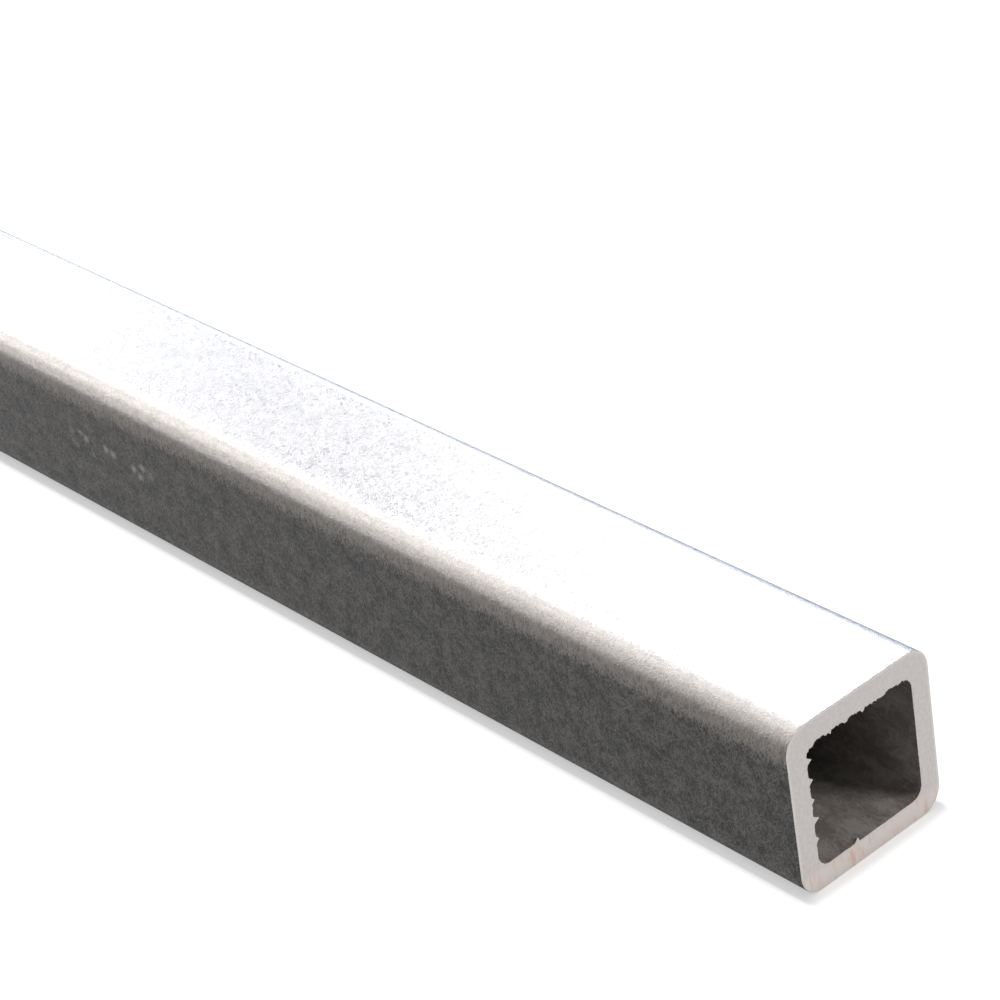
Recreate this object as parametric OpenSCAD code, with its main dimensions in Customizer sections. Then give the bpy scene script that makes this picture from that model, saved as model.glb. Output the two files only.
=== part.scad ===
// Pultruded fibreglass box section, sawn to length and lying on one face.
// The tube runs along X, its underside is at Z = 0, and the origin is in the middle of that underside.
// The saw left a burr at the +X end: small teeth that stand into the bore from the near wall and the top wall.

/* [Section] */
// Outside width of the section
section_w = 25.4; // [20:0.1:60]
// Outside height of the section
section_h = 25.4; // [20:0.1:60]
// Thickness of all four walls
wall_t = 3.2; // [2:0.1:5]
// Radius of the outside corners
outer_r = 3.5; // [1:0.1:6]
// Radius of the inside corners
inner_r = 2.0; // [0.5:0.1:4]

/* [Stock] */
// Length that the section is sawn to
stock_l = 1000; // [100:10:3000]

/* [Saw burr] */
// Distance from one burr tooth to the next
burr_pitch = 3.0; // [2:0.1:6]
// How far the longest tooth stands into the bore
burr_h = 0.8; // [0.2:0.05:1.2]
// How far a tooth reaches back along the bore
burr_reach = 1.2; // [0.4:0.1:4]
// Length of a tooth of the near wall along the edge
near_tooth_l = 1.5; // [0.8:0.1:2]
// Length of a tooth of the top wall along the edge
top_tooth_l = 2.0; // [0.8:0.1:2]

/* [Hidden] */
round_fn = 48;
bore_w = section_w - 2 * wall_t;
bore_h = section_h - 2 * wall_t;
saw_over = 1;             // how far a cutting shape stands clear of what it cuts
burr_root = 0.3;          // how deep a tooth is rooted in the wall
burr_spread = 0.5;        // share of its height that the shortest tooth lacks
burr_turn = 137;          // angle step that makes the heights look irregular
near_lean = 0.5;          // where the tip of a near tooth lies along it: in its middle
top_lean = 0.85;          // where the tip of a top tooth lies along it: near its far side
skin_grey = [0.33, 0.33, 0.32];

// A flat rectangle w by h about the origin, with round corners.
module rounded_outline(w, h, r) {
    translate([r - w / 2, r - h / 2])
        square([w - 2 * r, h - 2 * r]);
    for (side = [-1, 1]) {
        translate([side * (w - r) / 2, 0])
            square([r, h - 2 * r], center = true);
        translate([0, side * (h - r) / 2])
            square([w - 2 * r, r], center = true);
        for (level = [-1, 1])
            translate([side * (w / 2 - r), level * (h / 2 - r)])
                circle(r, $fn = round_fn);
    }
}

// A straight bar of that outline along X, centred on the length, with its axis at the section's middle.
module bar(w, h, r, l) {
    translate([-l / 2, 0, section_h / 2])
        rotate([90, 0, 90])
            linear_extrude(l)
                rounded_outline(w, h, r);
}

// One burr tooth. It stands up along Z from a wall below Z = 0, runs l along Y, and is highest at the
// sawn end, X = 0. From there it slopes down to nothing at X = -burr_reach.
module burr_tooth(l, h, lean) {
    intersection() {
        rotate([90, 0, -90])
            linear_extrude(burr_reach)
                polygon([
                    [0, -burr_root],
                    [-l, -burr_root],
                    [-l, 0],
                    [-l * lean, h],
                    [0, 0]
                ]);
        rotate([90, 0, 0])
            translate([0, 0, -l])
                linear_extrude(l)
                    polygon([
                        [-burr_reach, -burr_root],
                        [0, -burr_root],
                        [0, h],
                        [-burr_reach, 0]
                    ]);
    }
}

// A row of teeth along a straight edge of that length, centred on it. The heights vary.
module burr_row(edge_l, l, lean) {
    count = floor(edge_l / burr_pitch);
    start = -count * burr_pitch / 2 + (burr_pitch - l) / 2;
    for (i = [0 : count - 1])
        translate([0, start + i * burr_pitch, 0])
            burr_tooth(l, burr_h * (1 - burr_spread * (1 + sin(i * burr_turn)) / 2), lean);
}

module box_section() {
    color(skin_grey) {
        difference() {
            bar(section_w, section_h, outer_r, stock_l);
            bar(bore_w, bore_h, inner_r, stock_l + 2 * saw_over);
        }
        translate([stock_l / 2, 0, section_h / 2]) {
            // Down from the top wall.
            translate([0, 0, bore_h / 2])
                mirror([0, 0, 1])
                    burr_row(bore_w - 2 * inner_r, top_tooth_l, top_lean);
            // Inwards from the near wall.
            rotate([-90, 0, 0])
                translate([0, 0, -bore_w / 2])
                    burr_row(bore_h - 2 * inner_r, near_tooth_l, near_lean);
        }
    }
}

box_section();
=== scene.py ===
"""Dresses the fibreglass box section.

It makes a detailed tube, its saw burr, their finishes, a pale floor, lamps and a camera.
"""

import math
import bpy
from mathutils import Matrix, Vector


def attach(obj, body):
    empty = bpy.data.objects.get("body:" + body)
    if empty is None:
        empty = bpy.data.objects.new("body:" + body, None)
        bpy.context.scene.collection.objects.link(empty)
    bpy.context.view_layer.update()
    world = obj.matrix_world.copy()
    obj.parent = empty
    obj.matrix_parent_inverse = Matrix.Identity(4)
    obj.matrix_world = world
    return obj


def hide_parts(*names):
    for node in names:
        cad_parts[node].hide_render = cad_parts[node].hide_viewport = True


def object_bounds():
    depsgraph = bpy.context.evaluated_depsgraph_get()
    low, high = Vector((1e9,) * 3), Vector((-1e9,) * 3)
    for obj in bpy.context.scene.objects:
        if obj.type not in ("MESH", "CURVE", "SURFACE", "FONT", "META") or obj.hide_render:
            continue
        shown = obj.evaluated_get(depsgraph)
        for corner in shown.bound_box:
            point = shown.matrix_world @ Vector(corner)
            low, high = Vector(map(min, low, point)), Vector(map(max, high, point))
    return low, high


bl_info = {
    "name": "Fibreglass Box Section",
    "version": (1, 0, 0),
    "blender": (4, 5, 0),
    "location": "3D View > Sidebar > Box Section",
    "description": "Makes a sawn length of fibreglass box section on a pale floor",
    "category": "Add Mesh",
}

import bmesh
import bpy
from bpy.props import FloatProperty, FloatVectorProperty, IntProperty, PointerProperty
from bpy.types import Operator, Panel, PropertyGroup
from mathutils import Vector, noise

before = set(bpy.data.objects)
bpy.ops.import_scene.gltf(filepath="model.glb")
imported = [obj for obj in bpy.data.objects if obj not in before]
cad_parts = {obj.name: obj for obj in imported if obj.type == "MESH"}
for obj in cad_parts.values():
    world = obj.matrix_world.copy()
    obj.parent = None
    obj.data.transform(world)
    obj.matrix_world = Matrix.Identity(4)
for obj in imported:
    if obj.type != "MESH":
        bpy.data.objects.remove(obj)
CAD_LOW, CAD_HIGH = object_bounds()
CAD_SIZE = CAD_HIGH - CAD_LOW
MM = 0.001

# Shapes
SAME_PLACE = 1e-6  # points closer than this count as touching
BORE_SLACK = 0.1 * MM  # how far off the bore's outline a point may lie and still belong to it
GENTLE_BEND = 32  # degrees between faces that are shaded as one smooth surface
LENGTH_STEPS = 12
END_FACING = 0.9  # share of a face's normal along the tube, above which it is an end face
CUT_FACING = 0.5  # the same for a face that shows sawn laminate, the burr's lip among them
BURR_TURN = 137  # angle step in degrees that makes the heights of the teeth look irregular
BURR_SPREAD = 0.5  # share of its height that the shortest tooth lacks
NEAR_LEAN, TOP_LEAN, SPLINTER_LEAN = 0.5, 0.85, 0.7  # where the tips lie along their teeth
TOOTH_CURVE = 1.4  # above 1, the sides of a tooth are hollow
SPLINTER_LENGTH = 1.0 * MM
NEAR_TEETH, TOP_TEETH = 1.3, 0.7  # share of the height that the teeth of each wall have
NEAR_RAG, FAR_RAG, LOW_RAG = 0.3, 0.15, 0.2  # share of the top wall's rag that each wall has
RAG_MIDDLE, RAG_LEAST = 0.5, 0.1  # the rag's mean and least height, in shares of its height
RAG_NOISE = ((0.5, 0.9), (0.8, 3.1), (0.7, 6.7))  # weight, and waves in a millimetre
# Behind the cut's rim the burr has more outlines: how far back they lie, in shares of its reach.
BURR_BANDS = (0, 0.2, 0.5, 1, 0.6)
BAND_PUSH = (0, 1, 0.75, 0.35, 0, 0)  # share of the push each outline takes, the rim first
BURR_ROOT = 0.1 * MM  # how deep the burr is rooted in the wall
MOST_PUSH = 2 * MM  # push that a full vertex weight stands for

# Finishes
SKIN_MAP = "Skin"
FIBRE_RELIEF = 0.024 * MM
CUT_RELIEF = 0.02 * MM
SKIN_GLOSS = 0.3  # a thin worn resin skin mirrors less than clear resin
FLOAT_A, FLOAT_B = 2, 3  # a Mix node's sockets go by number, as their names repeat
COLOUR_A, COLOUR_B, COLOUR_OUT = 6, 7, 2
STREAK_EDGE = 0.2  # how softly a fibre fades out at its edge
SHORT_FIBRES = (0.8, 4.0, 0.585)  # Short, Thin and Rare of the fibre streaks
LONG_FIBRES = (0.24, 4.0, 0.63)
TUFT_FIBRES = (0.5, 3.0, 0.5)
FLECK_PLACE = {"Along": 354.0, "Round": 46.5}  # middle of the flecks on the skin map
FLECK_REACH = {"Along": 12, "Round": 2.2}  # how far they reach from there
FLECK_FULL = 0.7  # share of the reach over which they are at their palest
HIGHLIGHT_CORNER = 1.5  # quarters of the way round, which is the corner above the near side, whose paler band is partly worn fibres and partly painted highlight
CORNER_BAND_RAG = -2.0  # how far a fibre carries the band of painted highlight and worn fibres past its edge, in millimetres
CORNER_BAND_START, CORNER_BAND_FULL = 1.2, -1.6  # where the band of painted highlight and worn fibres begins and is full, from the corner's end
GRAIN_DARK, GRAIN_LIGHT = 0.9, 1.06  # the cut's grain, in shares of its colour

# Stage
FLOOR_SIZE = 12
FLOOR_LIFT_REACH = (1.0, 3.0)  # where the floor begins to be lifted more, and is fully lifted
BLUE, COOL, WARM = (0.66, 0.77, 1.0), (1.0, 0.985, 0.985), (1.0, 0.95, 0.91)
LIT_POINT = (CAD_HIGH.x - 0.1, 0, 0.012)  # what the lamps face
SOFTBOX_DISTANCE = 3.0
# Lamps that only show as reflections: azimuth, elevation, size, share of the glare, and tint.
SOFTBOXES = {
    "glare softbox": (131.7, 38, (0.94, 1.8), 1, COOL),
    "left softbox": (155.4, 36, (0.33, 2.0), 0.7, COOL),
    "band softbox": (168, 45, (0.8, 2.2), 0.27, COOL),
    "side softbox": (193, 45, (1.15, 2.2), 0.5, WARM),
    "low softbox": (218, 25, (1.0, 1.9), 0.36, WARM),
    "back softbox": (134, 8, (3.0, 1.0), 0.24, BLUE),
}
# Lamps that give the even light: azimuth, elevation, distance and size.
TOP_LAMP = (174, 87.4, 4.0, 0.3)
END_LAMP = (35, 45, 3.0, 0.9)
CAMERA_PLACE = (CAD_HIGH.x + 0.238435, -0.222174, 0.255971)
CAMERA_TURN = (58.5226, 8.5702, 48.665)  # degrees about X, Y and Z


class SectionSizes(PropertyGroup):
    length: FloatProperty(
        name="Length", description="Length of the tube", default=CAD_SIZE.x, unit="LENGTH"
    )
    width: FloatProperty(
        name="Width", description="Outside width of the section", default=CAD_SIZE.y, unit="LENGTH"
    )
    height: FloatProperty(
        name="Height", description="Outside height of the section",
        default=CAD_SIZE.z, unit="LENGTH",
    )
    wall: FloatProperty(
        name="Wall", description="Thickness of the walls", default=3.2 * MM, unit="LENGTH"
    )
    outer_radius: FloatProperty(
        name="Outer Radius", description="Radius of the outside corners",
        default=3.5 * MM, unit="LENGTH",
    )
    inner_radius: FloatProperty(
        name="Inner Radius", description="Radius of the inside corners",
        default=2.0 * MM, unit="LENGTH",
    )
    corner_steps: IntProperty(
        name="Corner Steps", description="Facets round one corner", default=16, min=4, max=32
    )
    edge_break: FloatProperty(
        name="Edge Break", description="Width of the worn edge round a cut face",
        default=0.12 * MM, unit="LENGTH",
    )


class BurrSizes(PropertyGroup):
    pitch: FloatProperty(
        name="Pitch", description="Distance from one burr tooth to the next",
        default=3.0 * MM, unit="LENGTH",
    )
    height: FloatProperty(
        name="Height", description="How far the longest tooth stands into the bore",
        default=0.8 * MM, unit="LENGTH",
    )
    reach: FloatProperty(
        name="Reach", description="How far a tooth reaches back along the bore",
        default=1.2 * MM, unit="LENGTH",
    )
    near_tooth: FloatProperty(
        name="Near Tooth", description="Length of a tooth of the near wall",
        default=1.5 * MM, unit="LENGTH",
    )
    top_tooth: FloatProperty(
        name="Top Tooth", description="Length of a tooth of the top wall",
        default=2.0 * MM, unit="LENGTH",
    )
    rag: FloatProperty(
        name="Rag", description="Height of the torn resin between the teeth",
        default=0.35 * MM, unit="LENGTH",
    )
    near_shift: FloatProperty(
        name="Near Shift", description="How far down the teeth of the near wall lie",
        default=0.4 * MM, unit="LENGTH",
    )
    top_shift: FloatProperty(
        name="Top Shift", description="How far across the teeth of the top wall lie",
        default=-1.2 * MM, unit="LENGTH",
    )
    splinter: FloatProperty(
        name="Splinter", description="Height of the lone splinter on the bottom wall",
        default=0.8 * MM, unit="LENGTH",
    )
    splinter_place: FloatProperty(
        name="Splinter Place", description="Where the splinter is across the section",
        default=-2.7 * MM, unit="LENGTH",
    )
    steps: IntProperty(
        name="Steps", description="Facets of the burr along one side of the bore",
        default=180, min=20, max=300,
    )


class FinishColours(PropertyGroup):
    skin_dark: FloatVectorProperty(
        name="Skin Dark", description="Resin skin in its dark places", subtype="COLOR", size=3,
        default=(0.006, 0.0058, 0.0056), min=0, max=1,
    )
    skin_light: FloatVectorProperty(
        name="Skin Light", description="Fibres that show through the resin skin",
        subtype="COLOR", size=3,
        default=(0.135, 0.126, 0.121), min=0, max=1,
    )
    # Paler, browner fibres on the corner above the near side: partly worn fibres, partly painted
    # highlight where the lamps light that corner.
    corner_highlight_and_wear: FloatVectorProperty(
        name="Worn Corner And Highlight", description="Paler fibres and a painted highlight along the corner",
        subtype="COLOR", size=3,
        default=(0.33, 0.303, 0.284), min=0, max=1,
    )
    fleck: FloatVectorProperty(
        name="Fleck", description="Pale flecks under the resin skin", subtype="COLOR", size=3,
        default=(0.32, 0.31, 0.29), min=0, max=1,
    )
    bore_dark: FloatVectorProperty(
        name="Bore Dark", description="Wall of the hollow in its dark places",
        subtype="COLOR", size=3,
        default=(0.14, 0.122, 0.111), min=0, max=1,
    )
    bore_light: FloatVectorProperty(
        name="Bore Light", description="Fibres that show in the wall of the hollow",
        subtype="COLOR", size=3,
        default=(0.245, 0.225, 0.208), min=0, max=1,
    )
    cut_face: FloatVectorProperty(
        name="Cut Face", description="Sawn glass laminate", subtype="COLOR", size=3,
        default=(0.62, 0.585, 0.57), min=0, max=1,
    )
    cut_rim: FloatVectorProperty(
        name="Cut Rim", description="Paler resin at the outer rim of the cut",
        subtype="COLOR", size=3,
        default=(0.74, 0.71, 0.68), min=0, max=1,
    )
    # The bottom wall's cut is pinker, and painted lighter to make up for the shade it gets near the
    # floor.
    bottom_cut_and_painted_fill: FloatVectorProperty(
        name="Bottom Cut And Painted Fill", description="Sawn laminate of the bottom wall", subtype="COLOR", size=3,
        default=(0.70, 0.64, 0.61), min=0, max=1,
    )
    cut_stain: FloatVectorProperty(
        name="Cut Stain", description="Brown streaks on the cut of the bottom wall",
        subtype="COLOR", size=3,
        default=(0.66, 0.46, 0.39), min=0, max=1,
    )


class StageSettings(PropertyGroup):
    lens: FloatProperty(
        name="Lens", description="Focal length of the camera", default=116.327, unit="CAMERA"
    )
    glare: FloatProperty(
        name="Glare", description="Strength of the softbox that the top face mirrors", default=39.0
    )
    top_level: FloatProperty(
        name="Top Level", description="What a white surface shows under the top lamp alone",
        default=0.5,
    )
    end_level: FloatProperty(
        name="End Level", description="What a white surface shows under the end lamp alone",
        default=0.55,
    )
    world_level: FloatProperty(
        name="World Level", description="What a white surface shows under the surroundings alone",
        default=0.4,
    )
    floor_lift: FloatProperty(
        name="Floor Lift", description="White that the camera sees added to the floor", default=0.46
    )
    mirror_lift: FloatProperty(
        name="Mirror Lift", description="White that a reflection sees added to the floor",
        default=0.08,
    )


def deselect():
    """Deselects every object, so that an operator acts on the new piece alone."""
    bpy.ops.object.select_all(action="DESELECT")


def choose(piece, part, wanted):
    """Selects what passes the test, by its corner points, of a piece in edit mode.

    The part is "verts", "edges" or "faces".
    """
    bpy.ops.mesh.select_mode(type={"verts": "VERT", "edges": "EDGE", "faces": "FACE"}[part])
    bpy.ops.mesh.select_all(action="DESELECT")
    shape = bmesh.from_edit_mesh(piece.data)
    for item in getattr(shape, part):
        points = [item.co] if part == "verts" else [corner.co for corner in item.verts]
        if wanted(points):
            item.select_set(True)
    bmesh.update_edit_mesh(piece.data)


def bore_size(sizes):
    """Width and height of the hollow."""
    return Vector((sizes.width, sizes.height)) - 2 * Vector((sizes.wall, sizes.wall))


def rounded_outline(piece, x, width, height, radius, level, corner_steps, side_steps):
    """Adds a rounded square to a piece in edit mode, across the tube at x, round that level."""
    bpy.ops.mesh.select_all(action="DESELECT")
    bpy.ops.mesh.primitive_plane_add(size=1, location=(x, 0, level), rotation=(0, math.pi / 2, 0))
    bpy.ops.transform.resize(value=(1, width, height), center_override=(x, 0, level))
    bpy.ops.mesh.select_mode(type="VERT")
    bpy.ops.mesh.bevel(
        offset_type="OFFSET", offset=radius, segments=corner_steps, profile=0.5, affect="VERTICES"
    )
    half = Vector((width, height)) / 2
    flat = min(width, height) / 2 - radius

    def straight(points):
        on_edge = all(
            abs(abs(p.y) - half.x) < SAME_PLACE or abs(abs(p.z - level) - half.y) < SAME_PLACE
            for p in points
        )
        return on_edge and (points[0] - points[1]).length > flat

    if side_steps > 1:
        choose(piece, "edges", straight)
        bpy.ops.mesh.subdivide(number_cuts=side_steps - 1)


def make_outline(name, loops):
    """Starts a piece that holds only the given rounded outlines, and leaves it in edit mode."""
    deselect()
    bpy.ops.mesh.primitive_plane_add(size=1)
    piece = bpy.context.object
    piece.name = piece.data.name = name
    bpy.ops.object.mode_set(mode="EDIT")
    bpy.ops.mesh.delete(type="VERT")
    for loop in loops:
        rounded_outline(piece, *loop)
    choose(piece, "faces", lambda points: True)
    bpy.ops.mesh.delete(type="ONLY_FACE")
    return piece


def shade(piece):
    """Shades a piece smooth over its gentle bends and leaves its flat faces flat."""
    bpy.ops.object.shade_smooth_by_angle(angle=math.radians(GENTLE_BEND))
    even = piece.modifiers.new("even shading", "WEIGHTED_NORMAL")
    even.keep_sharp = True
    bpy.ops.object.modifier_apply(modifier=even.name)


class MESH_OT_box_section(Operator):
    """Makes the tube with its two sawn ends"""

    bl_idname = "mesh.box_section"
    bl_label = "Make Box Section"

    def execute(self, context):
        sizes = context.scene.section_sizes
        end = CAD_HIGH.x
        level = sizes.height / 2
        bore = bore_size(sizes)
        outer = (end, sizes.width, sizes.height, sizes.outer_radius, level, sizes.corner_steps, 1)
        inner = (end, bore.x, bore.y, sizes.inner_radius, level, sizes.corner_steps, 1)
        tube = make_outline("tube", (outer, inner))
        choose(tube, "edges", lambda points: True)
        bpy.ops.mesh.bridge_edge_loops()
        choose(tube, "faces", lambda points: True)
        for _ in range(LENGTH_STEPS):
            bpy.ops.mesh.extrude_region_move(
                TRANSFORM_OT_translate={"value": (-sizes.length / LENGTH_STEPS, 0, 0)}
            )
        bpy.ops.mesh.select_all(action="SELECT")
        bpy.ops.mesh.normals_make_consistent(inside=False)

        def worn_rim(points):
            at_end = all(abs(abs(p.x) - end) < SAME_PLACE for p in points)
            in_bore = [
                abs(p.y) < bore.x / 2 + BORE_SLACK and abs(p.z - level) < bore.y / 2 + BORE_SLACK
                for p in points
            ]
            # The bore's rim stays sharp at the sawn end, where the burr covers it.
            return at_end and (not any(in_bore) or all(in_bore) and points[0].x < 0)

        choose(tube, "edges", worn_rim)
        bpy.ops.mesh.bevel(
            offset_type="OFFSET", offset=sizes.edge_break, segments=2, profile=0.5, affect="EDGES"
        )
        bpy.ops.object.mode_set(mode="OBJECT")
        shade(tube)
        lay_bake_map(tube, sizes)
        lay_skin_map(tube, sizes)

        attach(tube, "root")
        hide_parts("box_section")
        return {"FINISHED"}


def tooth(along, tooth_length, lean):
    """Height of a burr tooth, from 0 to 1, at a distance along it."""
    tip = tooth_length * lean
    if along <= 0 or along >= tooth_length:
        return 0.0
    share = along / tip if along < tip else (tooth_length - along) / (tooth_length - tip)
    return share ** TOOTH_CURVE


def tooth_row(along, edge, tooth_length, lean, burr):
    """Height of a row of teeth at a distance along a straight edge, from the edge's middle."""
    count = int(edge / burr.pitch)
    start = -count * burr.pitch / 2 + (burr.pitch - tooth_length) / 2
    height = 0.0
    for i in range(-1, count):
        share = 1 - BURR_SPREAD * (1 + math.sin(math.radians(i * BURR_TURN))) / 2
        rise = tooth(along - start - i * burr.pitch, tooth_length, lean)
        height = max(height, burr.height * share * rise)
    return height


def burr_push(across, up, sizes, burr):
    """How far the burr stands into the bore at a point of the bore's outline: across, and up."""
    half = bore_size(sizes) / 2
    straight = 2 * (half.x - sizes.inner_radius)
    spot = Vector((across, up, 0)) / MM
    rag = RAG_MIDDLE
    for weight, waves in RAG_NOISE:
        rag += weight * noise.noise(spot * waves)
    rag = burr.rag * max(RAG_LEAST, rag)
    corner = Vector((abs(across), abs(up))) - (half - Vector((sizes.inner_radius,) * 2))
    if corner.x > 0 and corner.y > 0:
        outward = Vector((math.copysign(corner.x, across), math.copysign(corner.y, up)))
        inward = -outward.normalized()
    elif corner.x > corner.y:
        inward = Vector((-math.copysign(1, across), 0))
    else:
        inward = Vector((0, -math.copysign(1, up)))
    near = tooth_row(-up - burr.near_shift, straight, burr.near_tooth, NEAR_LEAN, burr)
    top = tooth_row(across - burr.top_shift, straight, burr.top_tooth, TOP_LEAN, burr)
    low = burr.splinter * tooth(
        across - burr.splinter_place + SPLINTER_LENGTH / 2, SPLINTER_LENGTH, SPLINTER_LEAN
    )
    across_height = max(NEAR_TEETH * near, rag * NEAR_RAG) if inward.x > 0 else rag * FAR_RAG
    up_height = top * TOP_TEETH + rag if inward.y < 0 else max(low, rag * LOW_RAG)
    return inward.x * across_height, inward.y * up_height


class MESH_OT_saw_burr(Operator):
    """Makes the burr that the saw left round the inner edge of the sawn end"""

    bl_idname = "mesh.saw_burr"
    bl_label = "Make Saw Burr"

    def execute(self, context):
        sizes = context.scene.section_sizes
        burr = context.scene.burr_sizes
        end = CAD_HIGH.x
        level = sizes.height / 2
        bore = bore_size(sizes)
        edge = (end, bore.x, bore.y, sizes.inner_radius, level, sizes.corner_steps, burr.steps)
        rim = make_outline("burr", (edge,))
        count = len(bmesh.from_edit_mesh(rim.data).verts)
        choose(rim, "edges", lambda points: True)
        # The lip, the slope behind it in three bands, and the root inside the wall.
        root = 1 + BURR_ROOT / (bore.x / 2)
        done = 0.0
        for depth in [share * burr.reach for share in BURR_BANDS]:
            bpy.ops.mesh.extrude_edges_move(TRANSFORM_OT_translate={"value": (done - depth, 0, 0)})
            done = depth
        bpy.ops.transform.resize(value=(1, root, root), center_override=(end - done, 0, level))
        shape = bmesh.from_edit_mesh(rim.data)
        shape.verts.ensure_lookup_table()
        for line in shape.edges:
            line.select_set(all(
                point.index < count or point.index >= len(BURR_BANDS) * count
                for point in line.verts
            ))
        bmesh.update_edit_mesh(rim.data)
        bpy.ops.mesh.bridge_edge_loops()
        bpy.ops.mesh.select_all(action="SELECT")
        bpy.ops.mesh.normals_make_consistent(inside=False)
        bpy.ops.object.mode_set(mode="OBJECT")
        self.tear(rim, sizes, burr, level, count)
        shade(rim)
        lay_skin_map(rim, sizes)

        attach(rim, "root")
        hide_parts("box_section")
        return {"FINISHED"}

    def tear(self, rim, sizes, burr, level, count):
        """Pushes the burr's lip and slope into the bore, with a weighted displacement each way."""
        pushes = [(axis, sign) for axis in "YZ" for sign in (1, -1)]
        groups = {push: rim.vertex_groups.new(name="%s %d" % push) for push in pushes}
        for point in rim.data.vertices:
            share = BAND_PUSH[point.index // count]
            moves = burr_push(point.co.y, point.co.z - level, sizes, burr)
            for axis, move in zip("YZ", moves):
                if share and move:
                    push = (axis, 1 if move > 0 else -1)
                    groups[push].add([point.index], share * abs(move) / MOST_PUSH, "REPLACE")
        for axis, sign in pushes:
            name = "%s %d" % (axis, sign)
            push = rim.modifiers.new(name, "DISPLACE")
            push.direction = axis
            push.mid_level = 0
            push.strength = sign * MOST_PUSH
            push.vertex_group = name
            bpy.ops.object.modifier_apply(modifier=name)
        rim.vertex_groups.clear()


def round_place(across, up, half, radius):
    """Distance along a rounded square from the middle of its right side, going up and round."""
    flat = half - radius
    quarter = 2 * flat + math.pi / 2 * radius
    turn, a, b = 0, across, up
    while not (a > 0 and -a < b <= a):
        a, b = b, -a
        turn += 1
        if turn > 3:
            break
    if b > flat:
        place = flat + radius * math.atan2(b - flat, max(a - flat, 1e-9))
    elif b < -flat:
        place = -flat - radius * math.atan2(-b - flat, max(a - flat, 1e-9))
    else:
        place = b
    return (turn * quarter + place) % (4 * quarter), 4 * quarter


def is_outside(place, sizes):
    """Whether a point of the tube's long faces is on its outside rather than in its bore."""
    middle = sizes.width / 2 - sizes.outer_radius
    beyond = Vector((
        max(0, abs(place.y) - middle), max(0, abs(place.z - sizes.height / 2) - middle)
    ))
    return beyond.length > sizes.outer_radius - sizes.wall / 2


def each_corner(piece, sizes):
    """Gives each corner of the long faces: its number, its point and its place round the section.

    With these come the whole way round, whether the face is outside, and the face itself.
    """
    level = sizes.height / 2
    for face in piece.data.polygons:
        if abs(face.normal.x) > END_FACING:
            continue
        outside = is_outside(face.center, sizes)
        half, bend = sizes.width / 2, sizes.outer_radius
        if not outside:
            half, bend = (half - sizes.wall, sizes.inner_radius)
        middle, total = round_place(face.center.y, face.center.z - level, half, bend)
        for corner in face.loop_indices:
            point = piece.data.vertices[piece.data.loops[corner].vertex_index].co
            place = round_place(point.y, point.z - level, half, bend)[0]
            if place - middle > total / 2:
                place -= total
            elif middle - place > total / 2:
                place += total
            yield corner, point, place, total, outside, face


def lay_skin_map(piece, sizes):
    """Lays a piece's long faces flat at their real size in millimetres, along and round it."""
    layer = piece.data.uv_layers.new(name=SKIN_MAP)
    for corner, point, place, *_ in each_corner(piece, sizes):
        layer.data[corner].uv = (point.x / MM, place / MM)


def lay_bake_map(tube, sizes):
    """Lays all the tube's faces out in one square, with its length cut into three stretches."""
    layer = tube.data.uv_layers.new(name="OFBake")
    tube.data.uv_layers.active = layer
    stretches = 3
    stretch = sizes.length / stretches
    gap = 4 / 1024
    strip_width = 0.86
    outer_height, bore_height = 0.222, 0.098
    cut_height, second_cut = 0.13, 0.15
    for corner, point, place, total, outside, face in each_corner(tube, sizes):
        number = min(stretches - 1, int((face.center.x + sizes.length / 2) / stretch))
        if outside:
            height = outer_height
            row = number * (outer_height + gap)
        else:
            height = bore_height
            row = stretches * (outer_height + gap) + number * (bore_height + gap)
        along = (point.x + sizes.length / 2 - number * stretch) / stretch
        layer.data[corner].uv = (
            gap + (strip_width - 2 * gap) * along,
            gap + row + height * max(0, min(1, place / total)),
        )
    for face in tube.data.polygons:
        if abs(face.normal.x) <= END_FACING:
            continue
        sign = 1 if face.center.x > 0 else -1
        for corner in face.loop_indices:
            point = tube.data.vertices[tube.data.loops[corner].vertex_index].co
            across = point.y * sign / sizes.width + 0.5
            layer.data[corner].uv = (
                strip_width + gap + (1 - strip_width - 2 * gap) * across,
                gap + cut_height * (point.z / sizes.height) + (second_cut if sign < 0 else 0),
            )


def add_node(tree, kind, x, y, settings=None, values=None):
    """Adds a shader node at a place in the tree, with its settings and its free sockets' values."""
    made = tree.nodes.new("ShaderNode" + kind)
    made.location = (x, y)
    for name, value in (settings or {}).items():
        setattr(made, name, value)
    for name, value in (values or {}).items():
        made.inputs[name].default_value = value
    return made


def join(tree, source, output, target, socket):
    """Links one node's output to another node's input."""
    tree.links.new(source.outputs[output], target.inputs[socket])


def chain(tree, *steps):
    """Links each step's first output to the next step's socket. A step is a node and its socket."""
    for (source, _), (target, socket) in zip(steps, steps[1:]):
        join(tree, source, 0, target, socket)


def new_group(name, numbers, outputs):
    """Starts a node group that takes a Place and some numbers. Its two end nodes come with it."""
    group = bpy.data.node_groups.new(name, "ShaderNodeTree")
    group.interface.new_socket(name="Place", in_out="INPUT", socket_type="NodeSocketVector")
    for socket in numbers:
        group.interface.new_socket(name=socket, in_out="INPUT", socket_type="NodeSocketFloat")
    for socket in outputs:
        group.interface.new_socket(name=socket, in_out="OUTPUT", socket_type="NodeSocketFloat")
    start = group.nodes.new("NodeGroupInput")
    start.location = (-900, 0)
    stop = group.nodes.new("NodeGroupOutput")
    stop.location = (900, 0)
    return group, start, stop


def use_group(tree, group, x, y):
    """Adds a node that stands for a group."""
    made = tree.nodes.new("ShaderNodeGroup")
    made.node_tree = group
    made.location = (x, y)
    return made


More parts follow.
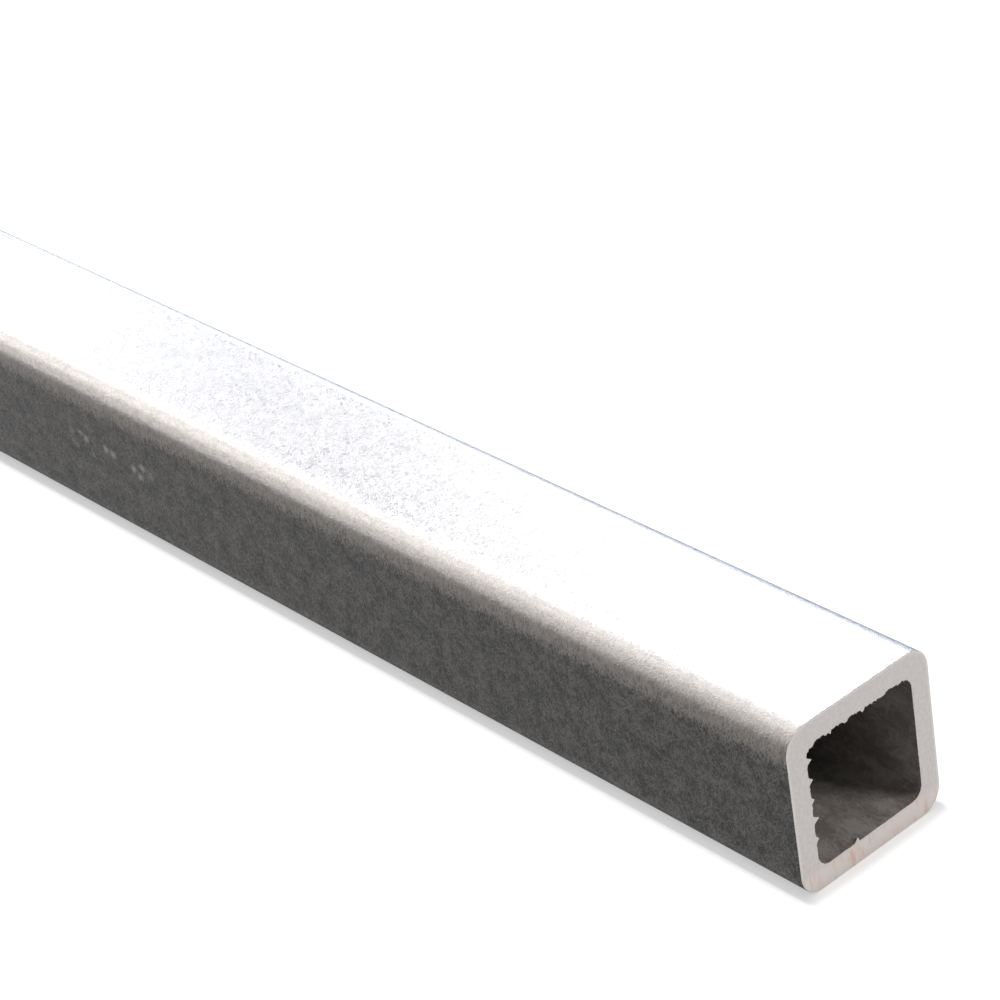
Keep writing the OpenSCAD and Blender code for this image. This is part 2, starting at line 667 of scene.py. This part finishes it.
def streak_group():
    """Fibres that all lie one way on the skin map: how short, how thin and how rare they are."""
    group, start, stop = new_group("Fibre Streaks", ("Angle", "Short", "Thin", "Rare"), ("Streak",))
    turn = add_node(group, "VectorRotate", -650, 0, {"rotation_type": "Z_AXIS"})
    shape = add_node(group, "CombineXYZ", -650, -250, None, {"Z": 1.0})
    squeeze = add_node(group, "Mapping", -400, 0)
    streak = add_node(
        group, "TexNoise", -150, 0, {"noise_dimensions": "2D"},
        {"Scale": 1, "Detail": 1, "Roughness": 0.45, "Distortion": 0.1},
    )
    full = add_node(group, "Math", -150, -300, {"operation": "ADD"}, {1: STREAK_EDGE})
    share = add_node(group, "MapRange", 150, 0)
    join(group, start, "Place", turn, "Vector")
    join(group, start, "Angle", turn, "Angle")
    join(group, start, "Short", shape, "X")
    join(group, start, "Thin", shape, "Y")
    join(group, turn, "Vector", squeeze, "Vector")
    join(group, shape, "Vector", squeeze, "Scale")
    join(group, squeeze, "Vector", streak, "Vector")
    join(group, start, "Rare", full, 0)
    join(group, streak, "Fac", share, "Value")
    join(group, start, "Rare", share, "From Min")
    join(group, full, 0, share, "From Max")
    join(group, share, "Result", stop, "Streak")
    return group


def fibre_layers(tree, source, output, streaks, layers, x, y):
    """Lays fibres over each other, each layer given by its angle and its Short, Thin and Rare."""
    hairs = None
    for row, (degrees, short, thin, rare) in enumerate(layers):
        layer = use_group(tree, streaks, x, y - 200 * row)
        values = {"Angle": math.radians(degrees), "Short": short, "Thin": thin, "Rare": rare}
        for name, value in values.items():
            layer.inputs[name].default_value = value
        join(tree, source, output, layer, "Place")
        if hairs is None:
            hairs = (layer, "Streak")
            continue
        top = add_node(tree, "Math", x + 250, y - 200 * row, {"operation": "MAXIMUM"})
        join(tree, *hairs, top, 0)
        join(tree, layer, "Streak", top, 1)
        hairs = (top, 0)
    return hairs


def veil_group(streaks):
    """The veil of glass fibres under the resin skin: its fibres, and its pale and dark patches."""
    group, start, stop = new_group("Glass Fibre Veil", (), ("Fibre", "Patch"))
    # Most fibres lie round the section, which is 90 degrees on the map.
    layers = [(degrees, *SHORT_FIBRES) for degrees in (90, 74, 108, 45, 140, 10)]
    layers += [(degrees, *LONG_FIBRES) for degrees in (38, 96, 151)]
    hairs = fibre_layers(group, start, "Place", streaks, layers, -600, 400)
    flat = {"noise_dimensions": "2D"}
    grain = add_node(
        group, "TexNoise", -600, -650, flat, {"Scale": 4, "Detail": 3, "Roughness": 0.7}
    )
    cloud = add_node(
        group, "TexNoise", -600, -850, flat, {"Scale": 0.34, "Detail": 5, "Roughness": 0.7}
    )
    join(group, start, "Place", grain, "Vector")
    join(group, start, "Place", cloud, "Vector")
    relief = add_node(group, "Mix", 350, 0, {"data_type": "FLOAT"}, {"Factor": 0.4})
    join(group, *hairs, relief, FLOAT_A)
    join(group, grain, "Fac", relief, FLOAT_B)
    patch = add_node(group, "MapRange", 100, -850, None, {"From Min": 0.3, "From Max": 0.7})
    join(group, cloud, "Fac", patch, "Value")
    join(group, relief, 0, stop, "Fibre")
    join(group, patch, "Result", stop, "Patch")
    return group


def fleck_group():
    """A short row of pale flecks, round a place on the skin map."""
    group, start, stop = new_group("Pale Flecks", ("Along", "Round"), ("Fleck",))
    parts = add_node(group, "SeparateXYZ", -700, 200)
    join(group, start, "Place", parts, "Vector")
    masks = []
    for row, (socket, axis) in enumerate((("Along", "X"), ("Round", "Y"))):
        reach = FLECK_REACH[socket]
        gap = add_node(group, "Math", -450, 200 - 200 * row, {"operation": "SUBTRACT"})
        size = add_node(group, "Math", -250, 200 - 200 * row, {"operation": "ABSOLUTE"})
        near = add_node(
            group, "MapRange", -50, 200 - 200 * row, None,
            {"From Min": reach, "From Max": reach * FLECK_FULL},
        )
        join(group, parts, axis, gap, 0)
        join(group, start, socket, gap, 1)
        join(group, gap, 0, size, 0)
        join(group, size, 0, near, "Value")
        masks.append(near)
    cells = add_node(
        group, "TexVoronoi", -450, -300, {"voronoi_dimensions": "2D"},
        {"Scale": 0.3, "Randomness": 1},
    )
    spot = add_node(group, "MapRange", -50, -300, None, {"From Min": 0.31, "From Max": 0.03})
    join(group, start, "Place", cells, "Vector")
    join(group, cells, "Distance", spot, "Value")
    band = add_node(group, "Math", 200, 100, {"operation": "MULTIPLY"})
    fleck = add_node(group, "Math", 450, 0, {"operation": "MULTIPLY"})
    join(group, masks[0], "Result", band, 0)
    join(group, masks[1], "Result", band, 1)
    join(group, band, 0, fleck, 0)
    join(group, spot, "Result", fleck, 1)
    join(group, fleck, 0, stop, "Fleck")
    return group


def highlight_and_wear_group(sizes):
    """Paler fibres along the corner above the near side, with an edge that the fibres make ragged:
    partly rubbed fibres, partly painted highlight where the lamps light that corner.
    """
    group, start, stop = new_group("Corner Wear", ("Fibre",), ("Wear",))
    arc = math.pi / 2 * sizes.outer_radius / MM
    quarter = arc + (sizes.width - 2 * sizes.outer_radius) / MM
    parts = add_node(group, "SeparateXYZ", -700, 0)
    turns = add_node(group, "Math", -500, 0, {"operation": "DIVIDE"}, {1: quarter})
    gap = add_node(group, "Math", -100, 0, {"operation": "SUBTRACT"}, {1: HIGHLIGHT_CORNER})
    size = add_node(group, "Math", 100, 0, {"operation": "ABSOLUTE"})
    away = add_node(group, "Math", 300, 0, {"operation": "MULTIPLY"}, {1: quarter})
    ragged = add_node(group, "Math", 500, 0, {"operation": "MULTIPLY_ADD"}, {1: CORNER_BAND_RAG})
    highlight_and_wear_band = add_node(
        group, "MapRange", 700, 0, {"interpolation_type": "SMOOTHSTEP"},
        {"From Min": arc / 2 + CORNER_BAND_START, "From Max": arc / 2 + CORNER_BAND_FULL},
    )
    join(group, start, "Place", parts, "Vector")
    join(group, parts, "Y", turns, 0)
    chain(group, (turns, 0), (gap, 0), (size, 0), (away, 0), (ragged, 2), (highlight_and_wear_band, "Value"))
    join(group, start, "Fibre", ragged, 0)
    join(group, highlight_and_wear_band, "Result", stop, "Wear")
    return group


def wall_group(sizes):
    """How deep a point of a cut face lies below the tube's outer surface, in millimetres."""
    group, start, stop = new_group("Wall Depth", (), ("Depth",))
    flat = sizes.width / 2 - sizes.outer_radius
    centre = add_node(
        group, "VectorMath", -650, 0, {"operation": "SUBTRACT"}, {1: (0, 0, sizes.height / 2)}
    )
    size = add_node(group, "VectorMath", -450, 0, {"operation": "ABSOLUTE"})
    beyond = add_node(group, "VectorMath", -250, 0, {"operation": "SUBTRACT"}, {1: (1, flat, flat)})
    held = add_node(group, "VectorMath", -50, 0, {"operation": "MAXIMUM"}, {1: (0, 0, 0)})
    length = add_node(group, "VectorMath", 150, 0, {"operation": "LENGTH"})
    depth = add_node(group, "Math", 350, 0, {"operation": "SUBTRACT"}, {0: sizes.outer_radius})
    scale = add_node(group, "Math", 550, 0, {"operation": "DIVIDE"}, {1: MM})
    join(group, start, "Place", centre, 0)
    chain(group, (centre, 0), (size, 0), (beyond, 0), (held, 0), (length, 0))
    join(group, length, "Value", depth, 1)
    chain(group, (depth, 0), (scale, 0), (stop, "Depth"))
    return group


def two_tones(tree, x, y, dark, light, low=0.0, high=1.0):
    """Adds a ramp from one colour to another, between a low and a high value."""
    ramp = add_node(tree, "ValToRGB", x, y)
    for element, position, colour in zip(ramp.color_ramp.elements, (low, high), (dark, light)):
        element.position = position
        element.color = (*colour, 1)
    return ramp


def paint_over(tree, x, y, mask, base, colour):
    """Lays a colour over what a base gives, where a mask says so, and returns what comes out."""
    mix = add_node(tree, "Mix", x, y, {"data_type": "RGBA"}, {COLOUR_B: (*colour, 1)})
    join(tree, *mask, mix, "Factor")
    join(tree, *base, mix, COLOUR_A)
    return mix, COLOUR_OUT


def product(tree, x, y, first, second):
    """Multiplies what two nodes give, and returns what comes out."""
    times = add_node(tree, "Math", x, y, {"operation": "MULTIPLY"})
    join(tree, *first, times, 0)
    join(tree, *second, times, 1)
    return times, 0


def skin_material(name, dark, light, veil, patchy, roughness, stretch=(1, 1, 1)):
    """Glossy resin over short glass fibres, which stand out a little through it.

    Comes back with its nodes for the place, the fibres and the colour.
    """
    material = bpy.data.materials.new(name)
    material.use_nodes = True
    tree = material.node_tree
    shader = tree.nodes["Principled BSDF"]
    place = add_node(tree, "UVMap", -1500, 0, {"uv_map": SKIN_MAP})
    drawn = add_node(tree, "Mapping", -1500, -300, None, {"Scale": stretch})
    fibres = use_group(tree, veil, -1300, 0)
    join(tree, place, "UV", drawn, "Vector")
    join(tree, drawn, "Vector", fibres, "Place")
    tone = add_node(tree, "Mix", -1050, 250, {"data_type": "FLOAT"}, {"Factor": patchy})
    join(tree, fibres, "Fibre", tone, FLOAT_A)
    join(tree, fibres, "Patch", tone, FLOAT_B)
    ramp = two_tones(tree, -850, 250, dark, light, low=0.28, high=0.7)
    join(tree, tone, 0, ramp, "Fac")
    join(tree, ramp, "Color", shader, "Base Color")
    least, most = roughness
    rough = add_node(tree, "MapRange", -850, -100, None, {"To Min": least, "To Max": most})
    join(tree, fibres, "Fibre", rough, "Value")
    join(tree, rough, "Result", shader, "Roughness")
    bump = add_node(tree, "Bump", -400, -300, None, {"Strength": 1.0, "Distance": FIBRE_RELIEF})
    join(tree, fibres, "Fibre", bump, "Height")
    join(tree, bump, "Normal", shader, "Normal")
    shader.inputs["Specular IOR Level"].default_value = SKIN_GLOSS
    return material, place, fibres, ramp


def outer_material(name, colours, sizes, veil, streaks):
    """The skin with its flecks, and its corner band that is partly worn fibres and partly painted
    highlight.
    """
    material, place, fibres, ramp = skin_material(
        name, colours.skin_dark, colours.skin_light, veil, patchy=0.3, roughness=(0.24, 0.35)
    )
    tree = material.node_tree
    layers = [(degrees, *TUFT_FIBRES) for degrees in (68, 86, 107)]
    strands = fibre_layers(tree, place, "UV", streaks, layers, -1700, 1000)
    tuft = add_node(tree, "Mix", -1250, 900, {"data_type": "FLOAT"}, {"Factor": 0.35})
    join(tree, fibres, "Fibre", tuft, FLOAT_A)
    join(tree, *strands, tuft, FLOAT_B)
    highlight_and_wear_band = use_group(tree, highlight_and_wear_group(sizes), -1000, 600)
    join(tree, place, "UV", highlight_and_wear_band, "Place")
    join(tree, tuft, 0, highlight_and_wear_band, "Fibre")
    share = add_node(
        tree, "MapRange", -1000, 850, None, {"From Max": 0.8, "To Min": 0.35, "To Max": 0.87}
    )
    join(tree, tuft, 0, share, "Value")
    # Share of the corner band, whose paler colour is partly worn fibres and partly painted
    # highlight on the lit corner.
    worn = product(tree, -750, 650, (highlight_and_wear_band, "Wear"), (share, "Result"))
    corner = paint_over(tree, -500, 400, worn, (ramp, "Color"), colours.corner_highlight_and_wear)
    spots = use_group(tree, fleck_group(), -750, 900)
    for name, value in FLECK_PLACE.items():
        spots.inputs[name].default_value = value
    join(tree, place, "UV", spots, "Place")
    pale = paint_over(tree, -250, 300, (spots, "Fleck"), corner, colours.fleck)
    join(tree, *pale, tree.nodes["Principled BSDF"], "Base Color")
    return material


def cut_material(name, colours, sizes):
    """Sawn laminate: pale and matt, with a paler rim and brown streaks on the bottom wall, whose
    cut is also pinker and painted lighter against the shade near the floor.
    """
    material = bpy.data.materials.new(name)
    material.use_nodes = True
    tree = material.node_tree
    shader = tree.nodes["Principled BSDF"]
    place = add_node(tree, "TexCoord", -1500, 0)
    grain = add_node(
        tree, "TexNoise", -1100, 300, None, {"Scale": 1800, "Detail": 4, "Roughness": 0.6}
    )
    join(tree, place, "Object", grain, "Vector")
    dark = [c * GRAIN_DARK for c in colours.cut_face]
    light = [min(1, c * GRAIN_LIGHT) for c in colours.cut_face]
    ramp = two_tones(tree, -850, 300, dark, light, low=0.3, high=0.7)
    join(tree, grain, "Fac", ramp, "Fac")

    wall = use_group(tree, wall_group(sizes), -1200, 650)
    join(tree, place, "Object", wall, "Place")
    rim_share = add_node(
        tree, "MapRange", -850, 650, None, {"From Min": 0.5, "From Max": 0.2, "To Max": 0.6}
    )
    join(tree, wall, "Depth", rim_share, "Value")
    rim = paint_over(tree, -500, 450, (rim_share, "Result"), (ramp, "Color"), colours.cut_rim)

    stretch = add_node(tree, "Mapping", -1300, -200, None, {"Scale": (1, 1, 0.22)})
    join(tree, place, "Object", stretch, "Vector")
    streak = add_node(
        tree, "TexNoise", -1100, -200, None, {"Scale": 1500, "Detail": 2, "Roughness": 0.5}
    )
    join(tree, stretch, "Vector", streak, "Vector")
    clump = add_node(
        tree, "TexNoise", -1100, -400, None, {"Scale": 420, "Detail": 1, "Roughness": 0.5}
    )
    join(tree, place, "Object", clump, "Vector")
    streak_share = add_node(
        tree, "MapRange", -850, -200, None, {"From Min": 0.46, "From Max": 0.62}
    )
    clump_share = add_node(
        tree, "MapRange", -850, -400, None, {"From Min": 0.40, "From Max": 0.62}
    )
    join(tree, streak, "Fac", streak_share, "Value")
    join(tree, clump, "Fac", clump_share, "Value")
    parts = add_node(tree, "SeparateXYZ", -1100, -650)
    join(tree, place, "Object", parts, "Vector")
    low = add_node(tree, "MapRange", -850, -650, None, {"From Min": 3.6 * MM, "From Max": 2.6 * MM})
    join(tree, parts, "Z", low, "Value")
    stain = product(tree, -600, -300, (streak_share, "Result"), (clump_share, "Result"))
    stained = product(tree, -400, -400, stain, (low, "Result"))
    # Painted fill: the bottom wall's cut is pinker and painted lighter, to offset the shade it gets
    # near the floor.
    bottom = paint_over(tree, -350, 450, (low, "Result"), rim, colours.bottom_cut_and_painted_fill)
    mix = paint_over(tree, -200, 200, stained, bottom, colours.cut_stain)
    join(tree, *mix, shader, "Base Color")
    bump = add_node(tree, "Bump", -200, -300, None, {"Strength": 1.0, "Distance": CUT_RELIEF})
    join(tree, grain, "Fac", bump, "Height")
    join(tree, bump, "Normal", shader, "Normal")
    shader.inputs["Roughness"].default_value = 0.8
    shader.inputs["Specular IOR Level"].default_value = 0.3
    return material


class MATERIAL_OT_section_finish(Operator):
    """Gives the tube its resin skin, its bore and its cut faces"""

    bl_idname = "material.section_finish"
    bl_label = "Finish Box Section"

    def execute(self, context):
        colours = context.scene.finish_colours
        sizes = context.scene.section_sizes
        streaks = streak_group()
        veil = veil_group(streaks)
        materials = (
            outer_material("resin skin", colours, sizes, veil, streaks),
            skin_material(
                "bore skin", colours.bore_dark, colours.bore_light, veil,
                patchy=0.55, roughness=(0.4, 0.55), stretch=(0.35, 0.9, 1),
            )[0],
            cut_material("sawn laminate", colours, sizes),
        )
        for name in ("tube", "burr"):
            piece = bpy.data.objects[name]
            for material in materials:
                piece.data.materials.append(material)
            for face in piece.data.polygons:
                if abs(face.normal.x) > CUT_FACING:
                    face.material_index = 2
                else:
                    face.material_index = 0 if is_outside(face.center, sizes) else 1
        return {"FINISHED"}


def mirrored_rays(tree, path, x, y):
    """Adds a mask of the rays that come off a mirror or through glass."""
    mirrored = add_node(tree, "Math", x, y, {"operation": "MAXIMUM"})
    join(tree, path, "Is Glossy Ray", mirrored, 0)
    join(tree, path, "Is Transmission Ray", mirrored, 1)
    return mirrored


class OBJECT_OT_photo_stage(Operator):
    """Sets the pale floor, the lamps, the surroundings and the camera"""

    bl_idname = "object.photo_stage"
    bl_label = "Set Stage"

    def execute(self, context):
        settings = context.scene.stage_settings
        self.floor(settings)
        self.lamps(settings)
        self.surroundings(context.scene, settings)
        self.camera(context, settings)
        context.scene.view_settings.view_transform = "Standard"
        return {"FINISHED"}

    def floor(self, settings):
        deselect()
        bpy.ops.mesh.primitive_plane_add(size=FLOOR_SIZE, location=(0, 0, 0))
        floor = bpy.context.object
        floor.name = "floor"
        material = bpy.data.materials.new("pale floor")
        material.use_nodes = True
        tree = material.node_tree
        shader = tree.nodes["Principled BSDF"]
        shader.inputs["Base Color"].default_value = (0.8, 0.8, 0.8, 1)
        shader.inputs["Roughness"].default_value = 1
        shader.inputs["Specular IOR Level"].default_value = 0
        path = add_node(tree, "LightPath", -900, -200)
        mirrored = mirrored_rays(tree, path, -700, -300)
        mirror_lift = add_node(
            tree, "Math", -500, -300, {"operation": "MULTIPLY"}, {1: settings.mirror_lift}
        )
        lift = add_node(tree, "Math", -300, -200, {"operation": "MULTIPLY_ADD"})
        # The far floor gets less light from the lamps, so it is lifted more.
        place = add_node(tree, "TexCoord", -900, -600)
        away = add_node(tree, "VectorMath", -700, -600, {"operation": "LENGTH"})
        near_end, far_end = FLOOR_LIFT_REACH
        far_lift = add_node(
            tree, "MapRange", -500, -600, None,
            {
                "From Min": near_end, "From Max": far_end,
                "To Min": settings.floor_lift, "To Max": 1.0,
            },
        )
        join(tree, place, "Object", away, 0)
        join(tree, away, "Value", far_lift, "Value")
        join(tree, far_lift, "Result", lift, 1)
        join(tree, mirrored, 0, mirror_lift, 0)
        join(tree, path, "Is Camera Ray", lift, 0)
        join(tree, mirror_lift, 0, lift, 2)
        join(tree, lift, 0, shader, "Emission Strength")
        shader.inputs["Emission Color"].default_value = (1, 1, 1, 1)
        floor.data.materials.append(material)

    def lamp(self, name, azimuth, elevation, distance, size, power, tint=(1, 1, 1)):
        """Adds an area lamp that faces the sawn end from that side and height."""
        a, e = math.radians(azimuth), math.radians(elevation)
        away = Vector((math.cos(a) * math.cos(e), math.sin(a) * math.cos(e), math.sin(e)))
        data = bpy.data.lights.new(name, "AREA")
        data.shape = "RECTANGLE"
        data.size, data.size_y = size
        data.energy = power
        data.color = tint
        lamp = bpy.data.objects.new(name, data)
        bpy.context.collection.objects.link(lamp)
        lamp.location = Vector(LIT_POINT) + away * distance
        lamp.rotation_euler = (-away).to_track_quat("-Z", "Y").to_euler()
        lamp.visible_camera = False
        return lamp

    def softbox(self, name, azimuth, elevation, size, strength, tint):
        """Adds a lamp that only shows as a reflection, at that strength."""
        power = strength * math.pi * size[0] * size[1]
        lamp = self.lamp(name, azimuth, elevation, SOFTBOX_DISTANCE, size, power, tint)
        lamp.visible_diffuse = False

    def lighting(self, name, azimuth, elevation, distance, size, level):
        """Adds a lamp under which a white surface that faces it shows that level."""
        power = level * math.pi ** 2 * distance ** 2
        return self.lamp(name, azimuth, elevation, distance, (size, size), power)

    def lamps(self, settings):
        for name, (azimuth, elevation, size, share, tint) in SOFTBOXES.items():
            self.softbox(name, azimuth, elevation, size, settings.glare * share, tint)
        self.lighting("top lamp", *TOP_LAMP, settings.top_level)
        end_lamp = self.lighting("end lamp", *END_LAMP, settings.end_level)
        # The end lamp leaves the floor alone, which has no shadow from that side.
        lit = bpy.data.collections.new("lit by end lamp")
        for name in ("tube", "burr"):
            lit.objects.link(bpy.data.objects[name])
        end_lamp.light_linking.receiver_collection = lit

    def surroundings(self, scene, settings):
        world = bpy.data.worlds.new("pale surroundings")
        scene.world = world
        world.use_nodes = True
        tree = world.node_tree
        shade = tree.nodes["Background"]
        path = add_node(tree, "LightPath", -900, 0)
        mirrored = mirrored_rays(tree, path, -700, -100)
        seen = add_node(tree, "Math", -500, 0, {"operation": "MAXIMUM"})
        level = add_node(
            tree, "MapRange", -300, 0, None, {"To Min": settings.world_level, "To Max": 1.0}
        )
        join(tree, path, "Is Camera Ray", seen, 0)
        join(tree, mirrored, 0, seen, 1)
        join(tree, seen, 0, level, "Value")
        join(tree, level, "Result", shade, "Strength")
        shade.inputs["Color"].default_value = (1, 1, 1, 1)

    def camera(self, context, settings):
        data = bpy.data.cameras.new("camera")
        data.lens = settings.lens
        data.sensor_width = 36
        data.clip_start = 0.01
        camera = bpy.data.objects.new("camera", data)
        context.collection.objects.link(camera)
        camera.location = CAMERA_PLACE
        camera.rotation_euler = [math.radians(turn) for turn in CAMERA_TURN]
        context.scene.camera = camera


class VIEW3D_PT_box_section(Panel):
    """Lists the steps that make the box section"""

    bl_idname = "VIEW3D_PT_box_section"
    bl_label = "Box Section"
    bl_space_type = "VIEW_3D"
    bl_region_type = "UI"
    bl_category = "Box Section"

    def draw(self, context):
        for step in (
            MESH_OT_box_section, MESH_OT_saw_burr, MATERIAL_OT_section_finish, OBJECT_OT_photo_stage
        ):
            self.layout.operator(step.bl_idname)
        for group in ("section_sizes", "burr_sizes", "finish_colours", "stage_settings"):
            settings = getattr(context.scene, group)
            for name in settings.__annotations__:
                self.layout.prop(settings, name)


CLASSES = (
    SectionSizes,
    BurrSizes,
    FinishColours,
    StageSettings,
    MESH_OT_box_section,
    MESH_OT_saw_burr,
    MATERIAL_OT_section_finish,
    OBJECT_OT_photo_stage,
    VIEW3D_PT_box_section,
)


def register():
    for item in CLASSES:
        bpy.utils.register_class(item)
    bpy.types.Scene.section_sizes = PointerProperty(type=SectionSizes)
    bpy.types.Scene.burr_sizes = PointerProperty(type=BurrSizes)
    bpy.types.Scene.finish_colours = PointerProperty(type=FinishColours)
    bpy.types.Scene.stage_settings = PointerProperty(type=StageSettings)


def unregister():
    for name in ("section_sizes", "burr_sizes", "finish_colours", "stage_settings"):
        delattr(bpy.types.Scene, name)
    for item in reversed(CLASSES):
        bpy.utils.unregister_class(item)


def main():
    register()
    bpy.ops.mesh.box_section()
    bpy.ops.mesh.saw_burr()
    bpy.ops.material.section_finish()
    bpy.ops.object.photo_stage()


if __name__ == "__main__":
    main()
